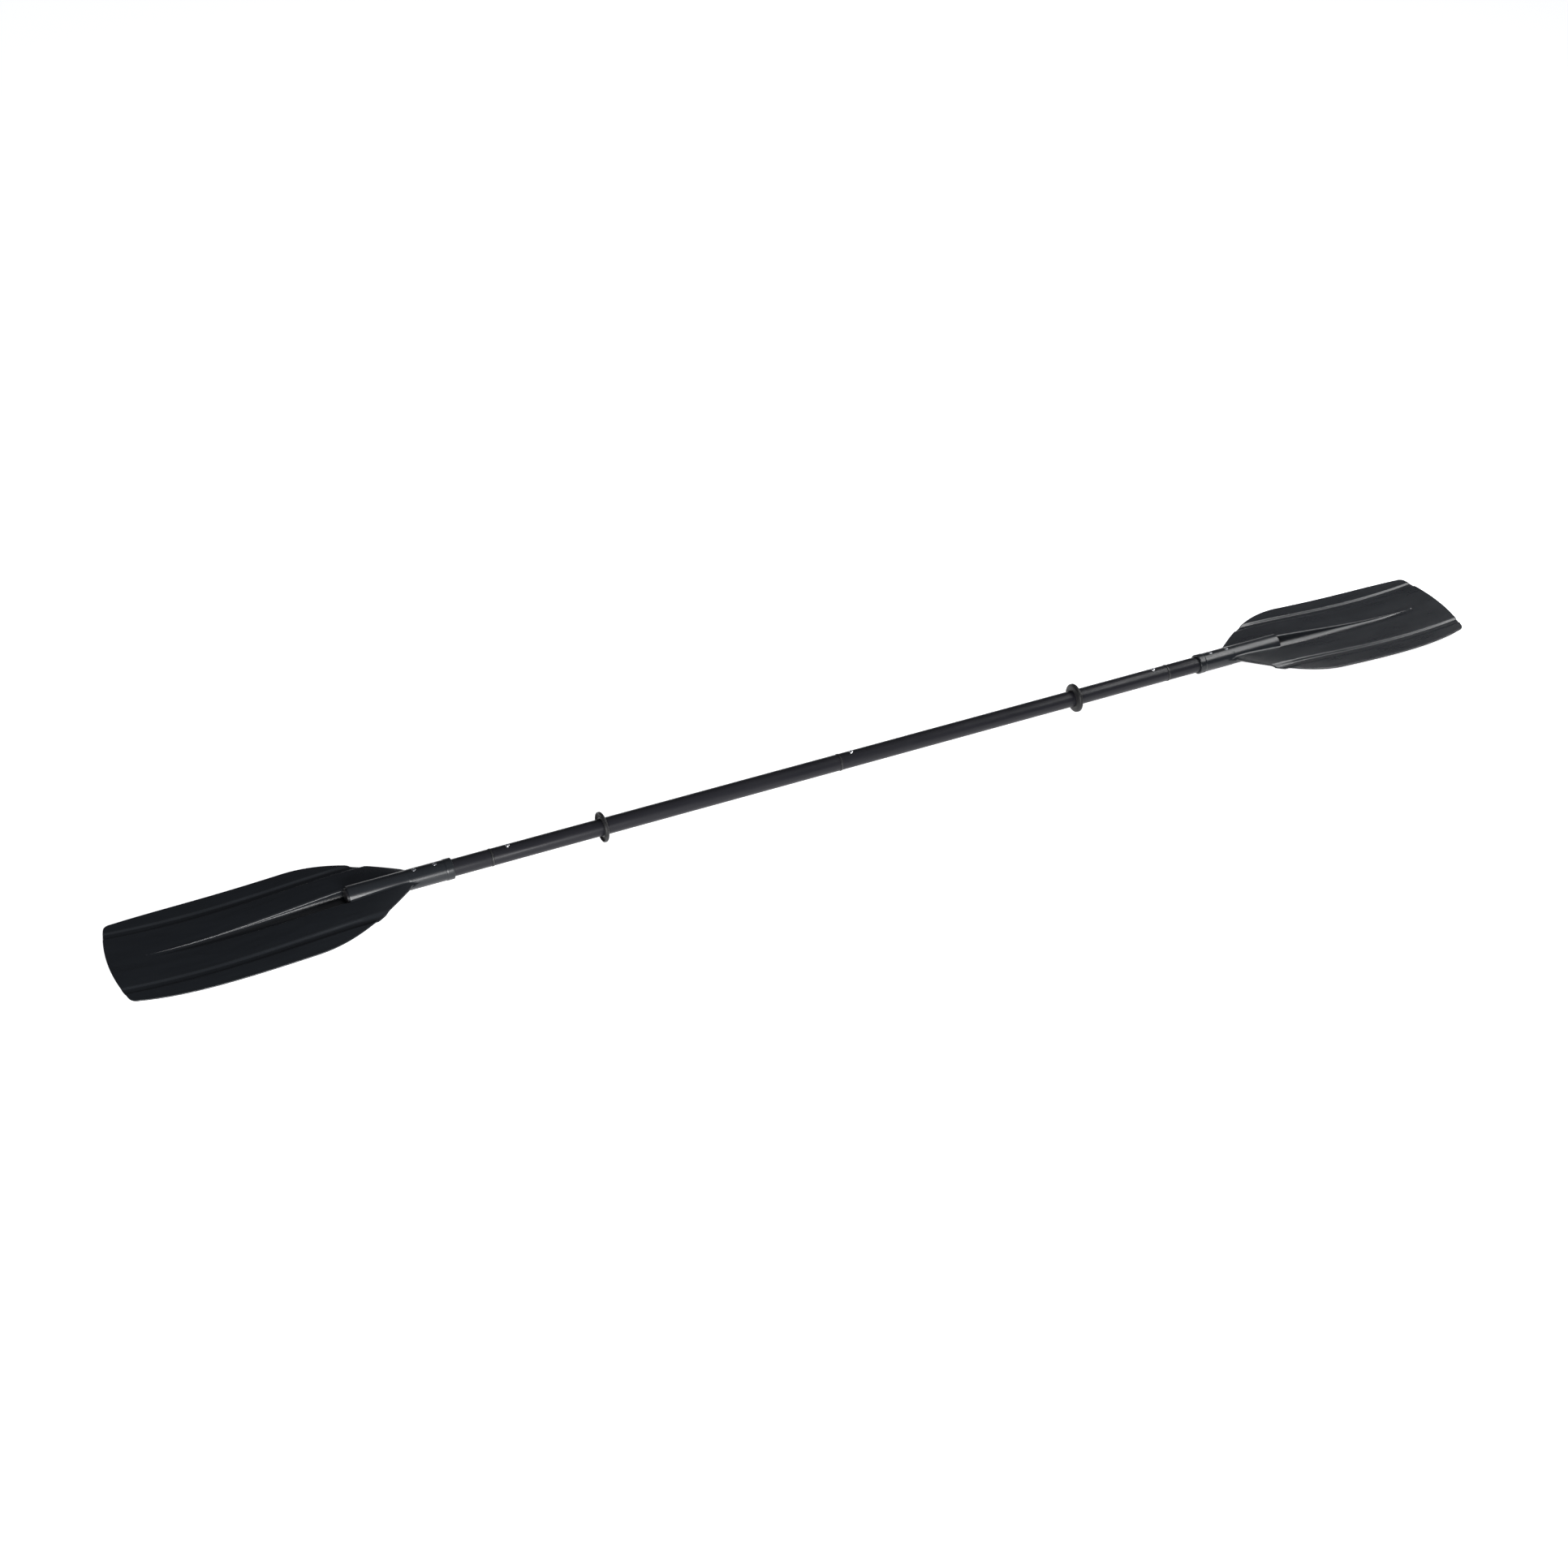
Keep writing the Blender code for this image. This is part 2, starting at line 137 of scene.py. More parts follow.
def add(tree, kind, values=None, links=None, **settings):
    """Adds a node, sets its properties and socket values, and links other sockets into it."""
    node = tree.nodes.new(kind)
    for name, value in settings.items():
        setattr(node, name, value)
    for socket, value in (values or {}).items():
        node.inputs[socket].default_value = value
    for socket, source in (links or {}).items():
        tree.links.new(source, node.inputs[socket])
    return node


print("black swatch", [round(v, 4) for v in linear("#202226")[:3]])

# %% [markdown]
# ## Anodised aluminium tube
#
# The shaft is drawn aluminium tube, dyed black in the anodising bath. Drawing leaves fine lines
# along the tube, and the oxide is a thin glassy skin over a dark layer, so it shines softly
# with a colourless highlight. The lines are really about 0.1 mm apart; they are drawn 0.7 mm
# apart here so that they show. Hands and hulls leave faint duller patches some 60 mm long.

# %% Anodised aluminium
def drawn_anodised_aluminium():
    made, tree, shader = new_material("black_anodised_drawn_aluminium", "#19191d", 0.34, specular=0.17)
    place = add(tree, "ShaderNodeTexCoord").outputs["Object"]
    lines = add(tree, "ShaderNodeMapping", {"Scale": (12.0, 1400.0, 1400.0)}, {"Vector": place})
    line = add(tree, "ShaderNodeTexNoise", {"Scale": 1.0, "Detail": 3.0},
               {"Vector": lines.outputs[0]})
    stretch = add(tree, "ShaderNodeMapping", {"Scale": (16.0, 50.0, 50.0)}, {"Vector": place})
    patch = add(tree, "ShaderNodeTexNoise", {"Scale": 1.0, "Detail": 4.0, "Roughness": 0.6},
                {"Vector": stretch.outputs[0]})
    gloss = add(tree, "ShaderNodeMapRange",
                {"From Min": 0.3, "From Max": 0.7, "To Min": 0.29, "To Max": 0.42},
                {"Value": patch.outputs["Fac"]})
    tint = add(tree, "ShaderNodeMix", {"A": linear("#16161a"), "B": linear("#1d1d21")},
               {"Factor": line.outputs["Fac"]}, data_type="RGBA")
    bump = add(tree, "ShaderNodeBump", {"Strength": 0.12, "Distance": 0.0001},
               {"Height": line.outputs["Fac"]})
    tree.links.new(tint.outputs["Result"], shader.inputs["Base Color"])
    tree.links.new(gloss.outputs[0], shader.inputs["Roughness"])
    tree.links.new(bump.outputs[0], shader.inputs["Normal"])
    return made


anodised = drawn_anodised_aluminium()
print(anodised.name, "with", len(anodised.node_tree.nodes), "nodes")

# %% [markdown]
# ## Moulded nylon blade
#
# The blades are glass-filled nylon, injection moulded in a spark-eroded tool. The tool leaves a
# fine grain of about 0.3 mm, drawn here at 0.8 mm, and the melt leaves long soft flow marks
# from the neck to the tip. The surface is a cool black with a broad, dull sheen.

# %% Moulded nylon
def grained_nylon(name, dark, light, roughness, grain_mm, flow=(9.0, 60.0, 60.0), depth=0.2,
                  specular=0.4):
    """A moulded black plastic: grain for the bump, stretched noise for the flow marks."""
    made, tree, shader = new_material(name, dark, roughness, specular=specular)
    place = add(tree, "ShaderNodeTexCoord").outputs["Object"]
    grain = add(tree, "ShaderNodeTexNoise",
                {"Scale": 1000 / grain_mm, "Detail": 2.0, "Roughness": 0.6}, {"Vector": place})
    stretch = add(tree, "ShaderNodeMapping", {"Scale": flow}, {"Vector": place})
    marks = add(tree, "ShaderNodeTexNoise",
                {"Scale": 1.0, "Detail": 5.0, "Roughness": 0.65, "Distortion": 0.4},
                {"Vector": stretch.outputs[0]})
    both = add(tree, "ShaderNodeMath", None,
               {0: grain.outputs["Fac"], 1: marks.outputs["Fac"]}, operation="MULTIPLY")
    share = add(tree, "ShaderNodeMapRange", {"From Min": 0.1, "From Max": 0.45},
                {"Value": both.outputs[0]})
    tint = add(tree, "ShaderNodeMix", {"A": linear(dark), "B": linear(light)},
               {"Factor": share.outputs[0]}, data_type="RGBA")
    gloss = add(tree, "ShaderNodeMapRange",
                {"From Min": 0.3, "From Max": 0.7, "To Min": roughness - 0.05,
                 "To Max": roughness + 0.07}, {"Value": marks.outputs["Fac"]})
    bump = add(tree, "ShaderNodeBump", {"Strength": depth, "Distance": 0.0002},
               {"Height": grain.outputs["Fac"]})
    tree.links.new(tint.outputs["Result"], shader.inputs["Base Color"])
    tree.links.new(gloss.outputs[0], shader.inputs["Roughness"])
    tree.links.new(bump.outputs[0], shader.inputs["Normal"])
    return made


blade_nylon = grained_nylon("black_glass_filled_nylon_blade", "#121417", "#1a1d21", 0.30, 0.8,
                            specular=0.33)
nylon = grained_nylon("black_injection_moulded_nylon", "#161617", "#1d1d1f", 0.40, 0.5,
                      flow=(80.0, 80.0, 80.0), depth=0.12)
print(blade_nylon.name, "and", nylon.name)

# %% [markdown]
# ## Rubber, steel, rivet and foam
#
# The drip rings are moulded rubber: nearly black, dull, with a grey bloom in the hollows. The
# buttons and their clips are stainless steel, tumbled until smooth, so they mirror the lights.
# The rivets are soft aluminium with small hammer marks. The plugs are closed-cell foam, whose
# cut cells are really 0.5 mm and are drawn at 1.2 mm, with painted shade in each cell's hollow.

# %% Rubber
def moulded_rubber():
    made, tree, shader = new_material("black_moulded_rubber", "#0e0e0f", 0.5, specular=0.3)
    shader.inputs["Sheen Weight"].default_value = 0.05
    place = add(tree, "ShaderNodeTexCoord").outputs["Object"]
    bloom = add(tree, "ShaderNodeTexNoise", {"Scale": 220.0, "Detail": 5.0}, {"Vector": place})
    share = add(tree, "ShaderNodeMapRange", {"From Min": 0.45, "From Max": 0.8},
                {"Value": bloom.outputs["Fac"]})
    tint = add(tree, "ShaderNodeMix", {"A": linear("#0b0b0c"), "B": linear("#17171a")},
               {"Factor": share.outputs[0]}, data_type="RGBA")
    bump = add(tree, "ShaderNodeBump", {"Strength": 0.15, "Distance": 0.0001},
               {"Height": bloom.outputs["Fac"]})
    tree.links.new(tint.outputs["Result"], shader.inputs["Base Color"])
    tree.links.new(bump.outputs[0], shader.inputs["Normal"])
    return made


def worn_metal(name, swatch, roughness, mark_mm):
    """A bright metal whose gloss and surface vary with small marks of the given size."""
    made, tree, shader = new_material(name, swatch, roughness, 1.0)
    place = add(tree, "ShaderNodeTexCoord").outputs["Object"]
    marks = add(tree, "ShaderNodeTexNoise", {"Scale": 1000 / mark_mm, "Detail": 4.0},
                {"Vector": place})
    gloss = add(tree, "ShaderNodeMapRange",
                {"From Min": 0.3, "From Max": 0.7, "To Min": 0.7 * roughness,
                 "To Max": 1.3 * roughness}, {"Value": marks.outputs["Fac"]})
    bump = add(tree, "ShaderNodeBump", {"Strength": 0.1, "Distance": 0.0001},
               {"Height": marks.outputs["Fac"]})
    tree.links.new(gloss.outputs[0], shader.inputs["Roughness"])
    tree.links.new(bump.outputs[0], shader.inputs["Normal"])
    return made


def closed_cell_foam():
    made, tree, shader = new_material("grey_closed_cell_foam", "#9a9a9c", 0.9)
    place = add(tree, "ShaderNodeTexCoord").outputs["Object"]
    cells = add(tree, "ShaderNodeTexVoronoi", {"Scale": 1000 / 1.2}, {"Vector": place})
    # The tint is darker at each cell's middle, where the bump sinks the cell: painted shade in the cut
    # cells.
    tint = add(tree, "ShaderNodeMix", {"A": linear("#6f6f72"), "B": linear("#a4a4a6")},
               {"Factor": cells.outputs["Distance"]}, data_type="RGBA")
    bump = add(tree, "ShaderNodeBump", {"Strength": 0.6, "Distance": 0.0004},
               {"Height": cells.outputs["Distance"]})
    tree.links.new(tint.outputs["Result"], shader.inputs["Base Color"])
    tree.links.new(bump.outputs[0], shader.inputs["Normal"])
    return made


rubber = moulded_rubber()
steel = worn_metal("tumbled_stainless_steel", "#d6d6d8", 0.2, 1.5)
rivet_metal = worn_metal("set_aluminium_rivet", "#8d8e92", 0.4, 0.8)
foam = closed_cell_foam()
print("materials:", [m.name for m in (rubber, steel, rivet_metal, foam)])

# %% [markdown]
# ## Surfaces from grids of points
#
# Each piece is one or more grids of points, worked out as whole arrays. A grid's neighbours
# become quads, grids that share an edge are welded there, and points that fall together, as
# where a wall runs out at a pole, are welded too. Normals are recalculated after the weld.

# %% Grids to meshes
def quads(rows, columns, wrapped, first=0):
    """Corner numbers of the quads between the neighbours of a rows by columns grid."""
    number = np.arange(rows * columns).reshape(rows, columns) + first
    if wrapped:
        number = np.concatenate([number, number[:, :1]], axis=1)
    corners = [number[:-1, :-1], number[1:, :-1], number[1:, 1:], number[:-1, 1:]]
    return np.stack(corners, axis=-1).reshape(-1, 4)


def finish_piece(node, made, finish):
    """Sets the material and slot, and lets the piece ride and stand for its CAD node."""
    made.data.materials.clear()
    made.data.materials.append(finish)
    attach(made, body_of_node[node])
    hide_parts(node)
    return made


def piece_from_grids(node, grids, sharp_degrees=35):
    """One closed mesh, named after its node, from (points, wrapped) grids welded together."""
    faces = []
    first = 0
    for points, wrapped in grids:
        faces.append(quads(*points.shape[:2], wrapped, first))
        first += points.shape[0] * points.shape[1]
    mesh = bpy.data.meshes.new(f"{node}_surface")
    mesh.from_pydata(np.concatenate([p.reshape(-1, 3) for p, _ in grids]).tolist(), [],
                     np.concatenate(faces).tolist())
    shape = bmesh.new()
    shape.from_mesh(mesh)
    bmesh.ops.remove_doubles(shape, verts=shape.verts, dist=2e-6)
    bmesh.ops.recalc_face_normals(shape, faces=shape.faces)
    open_edges = sum(1 for edge in shape.edges if len(edge.link_faces) != 2)
    shape.to_mesh(mesh)
    shape.free()
    mesh.shade_smooth()
    mesh.set_sharp_from_angle(angle=math.radians(sharp_degrees))
    made = bpy.data.objects.new(f"{node}_surface", mesh)
    bpy.context.scene.collection.objects.link(made)
    print(f"{node}: {len(mesh.polygons)} faces, {open_edges} open edges")
    return made


def revolve(profile, steps=96, upright=False, at=0.0):
    """A profile of (along, radius) rows turned round the X axis, or round a vertical one
    through x = at: the radius times (cosine, sine) of the angle makes the other two axes."""
    along, radius = np.array(profile).T[:, :, None]
    angle = np.linspace(0, 2 * np.pi, steps, endpoint=False)[None, :]
    first, second = radius * np.cos(angle), radius * np.sin(angle)
    along = along + 0 * angle
    return np.stack([at + first, second, along] if upright else [along, first, second], axis=-1)


def arc(centre, radius, start, end, steps=6):
    """Points (along, radius) on an arc about centre, from start to end in degrees."""
    angle = np.radians(np.linspace(start, end, steps + 1))
    return [(centre[0] + radius * c, centre[1] + radius * s)
            for c, s in zip(np.cos(angle), np.sin(angle))]


def closed(profile):
    """The profile with its first point repeated at the end."""
    return list(profile) + [profile[0]]


# %% [markdown]
# ## Tubes
#
# A tube is a ring-shaped profile carried round the axis, with its cut ends broken by a 0.3 mm
# rounding, which is what catches the light at a joint. The button holes are drilled with a
# Boolean, which is then made part of the mesh.

# %% Tubes
edge_break = 0.0003


def tube_profile(start, end, outer, inner, break_radius):
    """A long rectangle from bore to outside, with its four corners rounded."""
    e = break_radius
    return closed(arc((end - e, outer - e), e, 0, 90) + arc((start + e, outer - e), e, 90, 180)
                  + arc((start + e, inner + e), e, 180, 270) + arc((end - e, inner + e), e, 270, 360))


def drill(made, x, radius):
    """Cuts a round hole through the top wall at x, and makes the cut part of the mesh."""
    profile = [(0.0, 0.0), (0.0, radius), (2 * shaft_radius, radius), (2 * shaft_radius, 0.0)]
    points = revolve(profile, 48, True, x)
    mesh = bpy.data.meshes.new("drill")
    mesh.from_pydata(points.reshape(-1, 3).tolist(), [], quads(4, 48, True).tolist())
    shape = bmesh.new()
    shape.from_mesh(mesh)
    bmesh.ops.remove_doubles(shape, verts=shape.verts, dist=1e-6)
    bmesh.ops.recalc_face_normals(shape, faces=shape.faces)
    shape.to_mesh(mesh)
    shape.free()
    cutter = bpy.data.objects.new("drill", mesh)
    bpy.context.scene.collection.objects.link(cutter)
    cut = made.modifiers.new("drill", "BOOLEAN")
    cut.operation = "DIFFERENCE"
    cut.solver = "EXACT"
    cut.object = cutter
    bpy.context.view_layer.update()
    drilled = bpy.data.meshes.new_from_object(made.evaluated_get(bpy.context.evaluated_depsgraph_get()))
    made.modifiers.clear()
    made.data = drilled
    drilled.set_sharp_from_angle(angle=math.radians(35))
    bpy.data.objects.remove(cutter)


holes = {"left_shaft_tube": [button_x["left"]], "right_shaft_tube": [button_x["center"], button_x["right"]],
         "left_blade_tube": [], "right_blade_tube": []}
for node, places in holes.items():
    profile = tube_profile(low(node), high(node), shaft_radius, tube_bore, edge_break)
    tube = piece_from_grids(node, [(revolve(profile), True)])
    for x in places:
        drill(tube, x, button_radius + gap)
    finish_piece(node, tube, anodised)

# %% [markdown]
# ## Ferrules
#
# A ferrule is the moulded nylon sleeve that joins two tubes. It is bonded into one tube, and
# slides into the other, up to a collar that shows outside as a thin dark ring. Its free end has
# shallow grooves along it, which keep it running free when there is sand in the joint: the
# radius drops by a cosine bump twelve times round, fading out at both ends of the stretch.

# %% Ferrules
ferrule_free, ferrule_fixed = 0.070, 0.050
collar_half = 0.0013
collar_radius = high("center_ferrule", "z")
ferrule_radius = tube_bore - gap
ferrule_bore = ferrule_radius - 0.0018
groove_depth, groove_count = 0.00035, 12


def ferrule_surface(seam, direction):
    """The ferrule's profile from its seam, turned round the shaft and grooved: the profile's
    outer points past the collar lose groove_depth times a sharpened cosine of the angle."""
    c, lead = collar_half, 0.0015
    outside = [(ferrule_free, ferrule_radius - lead / 2), (ferrule_free - lead, ferrule_radius)]
    outside += [(s, ferrule_radius) for s in np.linspace(ferrule_free - 2 * lead, c + 0.0005, 40)]
    outside += [(c, ferrule_radius)] + arc((c - 0.0004, collar_radius - 0.0004), 0.0004, 0, 90)
    outside += arc((-c + 0.0004, collar_radius - 0.0004), 0.0004, 90, 180) + [(-c, ferrule_radius)]
    inside = [(-ferrule_fixed, ferrule_radius), (-ferrule_fixed, ferrule_bore)]
    inside += [(ferrule_free - 0.0004, ferrule_bore), (ferrule_free, ferrule_bore + 0.0004)]
    points = revolve(closed(outside + inside), 144)
    along, y, z = np.moveaxis(points, -1, 0)
    angle = np.arctan2(z, y)
    fade = np.clip((along - 0.004) / 0.003, 0, 1) * np.clip((0.066 - along) / 0.003, 0, 1)
    near_button = np.clip(np.abs(np.degrees(angle) - 90) / 15 - 1, 0, 1)
    groove = np.clip(np.cos(groove_count * (angle + np.pi / 2 + np.pi / groove_count)), 0, 1) ** 2
    on_outside = np.hypot(y, z) > ferrule_radius - 1e-5
    shrink = 1 - groove_depth / ferrule_radius * groove * fade * near_button * on_outside
    return np.stack([seam + direction * along, y * shrink, z * shrink], axis=-1)


for side in ("left", "center", "right"):
    node = f"{side}_ferrule"
    direction = -1 if side == "right" else 1
    seam = high(node) - ferrule_free if direction > 0 else low(node) + ferrule_free
    sleeve = piece_from_grids(node, [(ferrule_surface(seam, direction), True)])
    drill(sleeve, button_x[side], button_radius + gap)
    finish_piece(node, sleeve, nylon)
print(f"collars stand {1000 * (collar_radius - shaft_radius):.1f} mm off the tube")

# %% [markdown]
# ## Spring buttons and their clips
#
# A spring button is a short steel stud with a domed top, on the end of a strip bent into a V
# inside the ferrule. The dome is a quarter ellipse turned round its own axis. The strip is a
# curve in the XZ plane given a width and a thickness: level under the button, then closing in a
# smooth S to a round bend.

# %% Buttons and clips
def button_surface(side):
    """Top to bottom: a quarter-ellipse dome, the straight stud and a small foot rounding."""
    node = f"{side}_snap_button"
    top, foot = high(node, "z"), low(node, "z")
    angle = np.linspace(0, np.pi / 2, 13)
    dome = [(top - 0.0016 * (1 - math.cos(a)), button_radius * math.sin(a)) for a in angle]
    profile = dome + [(foot + 0.0003, button_radius), (foot, button_radius - 0.0003), (foot, 0)]
    return revolve(profile, 64, True, button_x[side])


def clip_surface(side):
    """The strip's centre line, as (along, height): level for a third of the way, a cosine
    slope down to the bend, half a turn, and the same again below. Its normal gives thickness."""
    node = f"{side}_snap_clip"
    open_end_high = high(node) - button_x[side] < button_x[side] - low(node)
    direction = -1 if open_end_high else 1
    thick, bend = 0.0005, 0.0014
    level = high(node, "z") - thick / 2
    reach = high(node) - low(node) - thick
    share = np.linspace(0, 1, 40)
    slope = np.clip((share - 0.3) / 0.7, 0, 1)
    upper_along = share * (reach - bend)
    upper_height = bend + (level - bend) * (0.5 + 0.5 * np.cos(np.pi * slope))
    turn = np.radians(np.linspace(90, -90, 14))[1:-1]
    along = np.concatenate([upper_along, reach - bend + bend * np.cos(turn), upper_along[::-1]])
    height = np.concatenate([upper_height, bend * np.sin(turn), -upper_height[::-1]])
    run = np.stack([np.gradient(along), np.gradient(height)])
    normal = np.stack([-run[1], run[0]]) / np.hypot(*run)
    across = 0.0025 * np.array([-1, -0.9, 0.9, 1, 1, 0.9, -0.9, -1])[None, :]
    push = thick / 2 * np.array([0.6, 1, 1, 0.6, -0.6, -1, -1, -0.6])[None, :]
    start = (high(node) if open_end_high else low(node)) + direction * thick / 2
    grid = np.stack([start + direction * (along[:, None] + push * normal[0][:, None]),
                     across + 0 * along[:, None], height[:, None] + push * normal[1][:, None]],
                    axis=-1)
    ends = [np.stack([row, row.mean(axis=0) + 0 * row]) for row in (grid[0], grid[-1])]
    return [(grid, True)] + [(end, True) for end in ends]


for side in ("left", "center", "right"):
    button = piece_from_grids(f"{side}_snap_button", [(button_surface(side), True)])
    finish_piece(f"{side}_snap_button", button, steel)
    clip = piece_from_grids(f"{side}_snap_clip", clip_surface(side))
    finish_piece(f"{side}_snap_clip", clip, steel)
    floor_of_clip = (button_x[side], 0, low(f"{side}_snap_clip", "z"))
    clip_height = high(f"{side}_snap_clip", "z") - low(f"{side}_snap_clip", "z")
    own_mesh(clip)

# %% [markdown]
# ## Drip rings
#
# A drip ring is a rubber cup on the shaft that opens towards the blade, so that water running
# down from the blade drops off its lip. Its skin is two quarter ellipses, one outside and one
# inside, joined by a rounded lip, with a short hub that grips the tube.

# %% Drip rings
def ring_surface(side):
    """Outside: radius falls from the lip to the hub as a quarter ellipse. Inside: the same, one
    skin's thickness in. The lip and the hub's ends are half-round."""
    node = f"{side}_drip_ring"
    half = (high(node) - low(node)) / 2
    middle = (high(node) + low(node)) / 2
    outer, hub, skin, lip = high(node, "y"), socket_bore + 0.0022, 0.0020, 0.0030
    angle = np.linspace(0, np.pi / 2, 25)
    outside = [(half - lip - (2 * half - lip) * math.sin(a), hub + (outer - hub) * math.cos(a))
               for a in angle]
    inside = [(half - skin / 2 - (2 * half - 1.5 * skin) * math.sin(a),
               hub + (outer - skin - hub) * math.cos(a)) for a in angle[::-1]]
    lip_turn = arc((half - skin / 2, outer - skin / 2), skin / 2, -90, 90, 10)
    back = [(-half, hub - 0.0008), (-half + 0.0003, socket_bore + 0.0003), (-half + 0.0008, socket_bore)]
    front = half - 0.0015
    grip = [(front - 0.0005, socket_bore)] + arc((front - 0.0006, hub - 0.0006), 0.0006, 0, 90)
    points = revolve(closed(outside + back + grip + inside[:-1] + lip_turn), 128)
    points[..., 0] = middle + sides[side] * points[..., 0]
    return points


for side in sides:
    ring = piece_from_grids(f"{side}_drip_ring", [(ring_surface(side), True)])
    finish_piece(f"{side}_drip_ring", ring, rubber)

# %% [markdown]
# ## Foam plugs, tube caps and rivets
#
# The plugs are punched from foam sheet and pushed into the tubes, so their rims are crushed
# round and their faces are slightly hollow. The cap that shuts a blade tube is a nylon bung with
# a low dome. A set rivet has a dome with a small dimple where its mandrel broke off.

# %% Plugs, caps and rivets
def plug_profile(node):
    """Face to face: a shallow hollow, a rounded rim, the side, and the same in reverse."""
    start, end, radius, rim = low(node), high(node), tube_bore - gap, 0.002
    share = np.linspace(0, 1, 9)
    hollow = [(end - 0.0008 * (1 - s * s), (radius - rim) * s) for s in share]
    side_end = hollow + arc((end - rim, radius - rim), rim, 0, 90)[1:]
    other = [(start + end - along, r) for along, r in side_end[::-1]]
    return side_end + other


def cap_profile():
    """From the dome's top: an elliptic dome, the flange's rim, and the bung in the tube."""
    tip, seat = high("right_tube_cap"), high("right_blade_tube") + gap
    inner = low("right_tube_cap")
    angle = np.linspace(0, np.pi / 2, 17)
    dome = [(tip - 0.0018 * (1 - math.cos(a)), shaft_radius * math.sin(a)) for a in angle]
    return dome + [(seat + 0.0002, shaft_radius), (seat, shaft_radius - 0.0002), (seat, tube_bore - gap),
                   (inner + 0.001, tube_bore - gap), (inner, tube_bore - gap - 0.001), (inner, 0)]


def rivet_profile(node):
    """From the middle: the mandrel's dimple, a half-round shoulder, the rim and the shank."""
    top, tail = high(node, "z"), low(node, "z")
    head, shank, rise = 0.0030, 0.0016, 0.0011
    angle = np.linspace(0, np.pi / 2, 11)
    dome = [(top - rise * (1 - math.cos(a)), 0.0011 + (head - 0.0011) * math.sin(a)) for a in angle]
    dimple = [(top - 0.0004, 0), (top - 0.0004, 0.0008)]
    return dimple + dome + [(top - rise, shank), (tail, shank), (tail, 0)]


for side, direction in sides.items():
    for place in ("inner", "outer"):
        node = f"{side}_{place}_plug"
        plug = piece_from_grids(node, [(revolve(plug_profile(node), 64), True)])
        finish_piece(node, plug, foam)
    points = revolve(cap_profile(), 64) * np.array([direction, direction, 1])
    cap = piece_from_grids(f"{side}_tube_cap", [(points, True)])
    finish_piece(f"{side}_tube_cap", cap, nylon)
    for number in (1, 2):
        node = f"{side}_neck_rivet_{number}"
        middle = (low(node) + high(node)) / 2
        rivet = piece_from_grids(node, [(revolve(rivet_profile(node), 48, True, middle), True)])
        finish_piece(node, rivet, rivet_metal)

# %% [markdown]
# ## The blade's form
#
# The blade is drawn once, pointing along +X. Four functions of x give its form. The half-width
# is a quarter sine out of the neck, then narrows a little towards the tip. The spoon is a cubic
# Bezier in height. A crown lifts the middle near the neck. Two recessed bands stiffen the
# plate, and a channel runs on from the socket's bore and fades into the plate.

# %% Blade form
neck_end = mouth + 0.0637
cover_end = neck_end + 0.0872
throat_start, throat_length = mouth + 0.0377, 0.1820
tip_narrowing, narrowing_length = 0.0140, 0.220
tip_bow, tip_corner_radius = 0.0093, 0.0130
spoon_start, spoon_heights = throat_start + 0.0020, (0.0052, -0.0007, -0.0208, -0.0041)
crown_height, crown_fade = 0.0040, (cover_end + 0.0088, half_length - 0.100)
plate_thickness = 0.0024
band_offset, band_half_width, band_wall = blade_half_width - 0.0327, 0.0074, 0.0040
band_depths = (0.0034, 0.0014)
channel_width, channel_end_width = socket_bore + 0.0007, 0.0030
channel_end, channel_fade = half_length - 0.050, 0.70


def smoothstep(start, end, value):
    """0 before start, 1 after end, and 3t squared minus 2t cubed between."""
    share = np.clip((value - start) / (end - start), 0, 1)
    return share * share * (3 - 2 * share)


def side_half_width(x):
    out = blade_half_width * np.sin(np.pi / 2 * np.clip((x - throat_start) / throat_length, 0, 1))
    near_tip = np.clip((x - (half_length - narrowing_length)) / narrowing_length, 0, 1)
    return out - tip_narrowing * near_tip ** 4


def plate_height(x, y):
    """Top of the plate: Bezier spoon, plus a crown that falls off with the square of y, minus
    the bands, whose walls are smoothsteps."""
    s = np.clip((x - spoon_start) / (half_length - spoon_start), 0, 1)
    a, b, c, d = spoon_heights
    spoon = a * (1 - s) ** 3 + 3 * b * s * (1 - s) ** 2 + 3 * c * s * s * (1 - s) + d * s ** 3
    width = np.maximum(side_half_width(x), 1e-4)
    crown = crown_height * (1 - smoothstep(*crown_fade, x))
    depth = np.interp(x, (throat_start, half_length), band_depths)
    in_band = smoothstep(0, band_wall, band_half_width - np.abs(np.abs(y) - band_offset))
    return spoon + crown * (1 - np.minimum(np.abs(y) / width, 1) ** 2) - depth * in_band


def channel_half_width(x):
    share = np.clip((x - cover_end) / (channel_end - cover_end), 0, 1)
    return channel_width + (channel_end_width - channel_width) * share


def channel_depth(x):
    """Keeps the floor one channel half-width under the axis, then runs out smoothly."""
    share = np.clip((x - cover_end) / (channel_end - cover_end), 0, 1)
    to_floor = np.maximum(plate_height(x, 0 * x) + channel_width, 0)
    return to_floor * (1 - smoothstep(channel_fade, 1, share))


print(f"widest {2000 * blade_half_width:.1f} mm, tip at {half_length:.3f} m, cover to {cover_end:.4f} m")

# %% [markdown]
# ## Half a section, from the crest round the edge to the keel
#
# A section of the blade is one closed loop. Its half starts at the middle of the top, runs down
# the sleeve or up the channel's wall, out over the plate, round the plate's edge, and back
# underneath to the middle. Every section has the same number of points in each stretch, so
# sections of unlike shape still join: sleeve first, then sleeve with wings, then channelled plate.

# %% Stretches of a half section
crest_steps, root_steps, edge_steps = 20, 6, 5
edge_radius = plate_thickness / 2
root_fillet = 0.0035
lip_radius = 0.0030
side_angle = np.radians(10.0)
bead_radius, neck_radius, cover_radius = (socket_bore + wall for wall in (0.0028, 0.0022, 0.0019))


